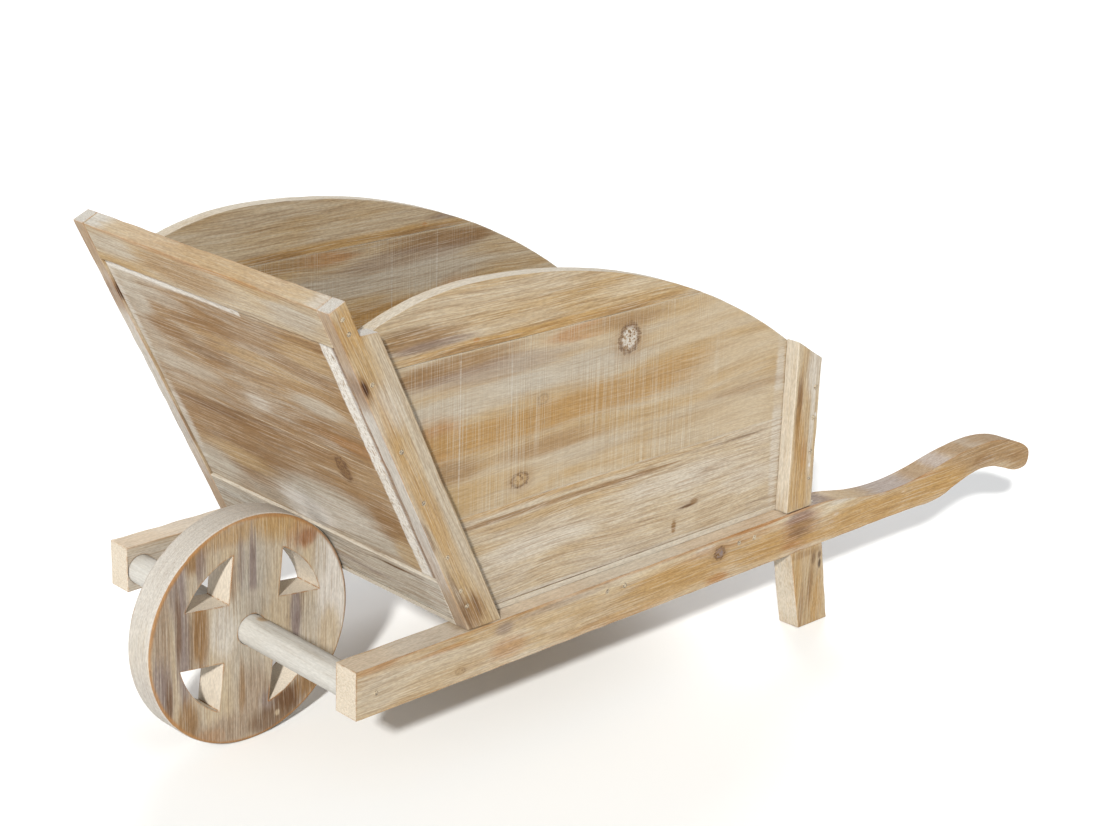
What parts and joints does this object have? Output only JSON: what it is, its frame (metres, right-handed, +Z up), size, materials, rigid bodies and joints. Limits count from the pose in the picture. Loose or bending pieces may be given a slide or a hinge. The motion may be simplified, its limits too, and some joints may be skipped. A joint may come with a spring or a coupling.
{
  "type": "wooden wheelbarrow planter",
  "caption": "Small wooden wheelbarrow planter: a box with a leaning front and arched sides on rails with curved handles, a spinning wooden wheel and short legs.",
  "frame": {"origin": "on the ground under the middle of the whole object's bounding box", "axes": "+X from the wheel to the handles, +Y to the right-hand side of the person who pushes, +Z up"},
  "size_m": [0.9355, 0.3236, 0.4018],
  "materials": {
    "frame_wood": "whitewashed, rubbed back",
    "post_wood": "whitewashed, rubbed back",
    "front_wood": "whitewashed, rubbed back in the middle of the boards",
    "side_wood": "whitewashed, saw marks",
    "inner_wood": "bare",
    "axle_wood": "thick whitewash",
    "wheel_wood": "whitewashed, rubbed back",
    "nail_steel": "dull, partly painted over"
  },
  "bodies": {
    "barrow": {"left_rail": "frame_wood", "right_rail": "frame_wood", "axle": "axle_wood", "floor_sheet": "inner_wood", "front_bearer": "inner_wood", "rear_bearer": "inner_wood", "left_leg": "frame_wood", "right_leg": "frame_wood", "left_front_post": "post_wood", "right_front_post": "post_wood", "front_top_rail": "front_wood", "front_bottom_rail": "front_wood", "front_board_lower": "front_wood", "front_board_upper": "front_wood", "left_side_board_lower": "side_wood", "left_side_board_middle": "side_wood", "left_side_board_upper": "side_wood", "right_side_board_lower": "side_wood", "right_side_board_middle": "side_wood", "right_side_board_upper": "side_wood", "left_rear_post": "post_wood", "right_rear_post": "post_wood", "rear_board_lower": "side_wood", "rear_board_upper": "side_wood", "front_nails": "nail_steel", "side_nails": "nail_steel", "rear_nails": "nail_steel", "floor_nails": "nail_steel", "axle_nails": "nail_steel", "bearer_nails": "nail_steel", "post_screws": "nail_steel", "leg_nails": "nail_steel"},
    "wheel": {"wheel": "wheel_wood"}
  },
  "joints": [
    {"name": "wheel_spin", "type": "hinge", "parent": "barrow", "child": "wheel", "pos_m": [-0.37225, 0, 0.0955], "axis": [0, 1, 0], "continuous": true}
  ]
}
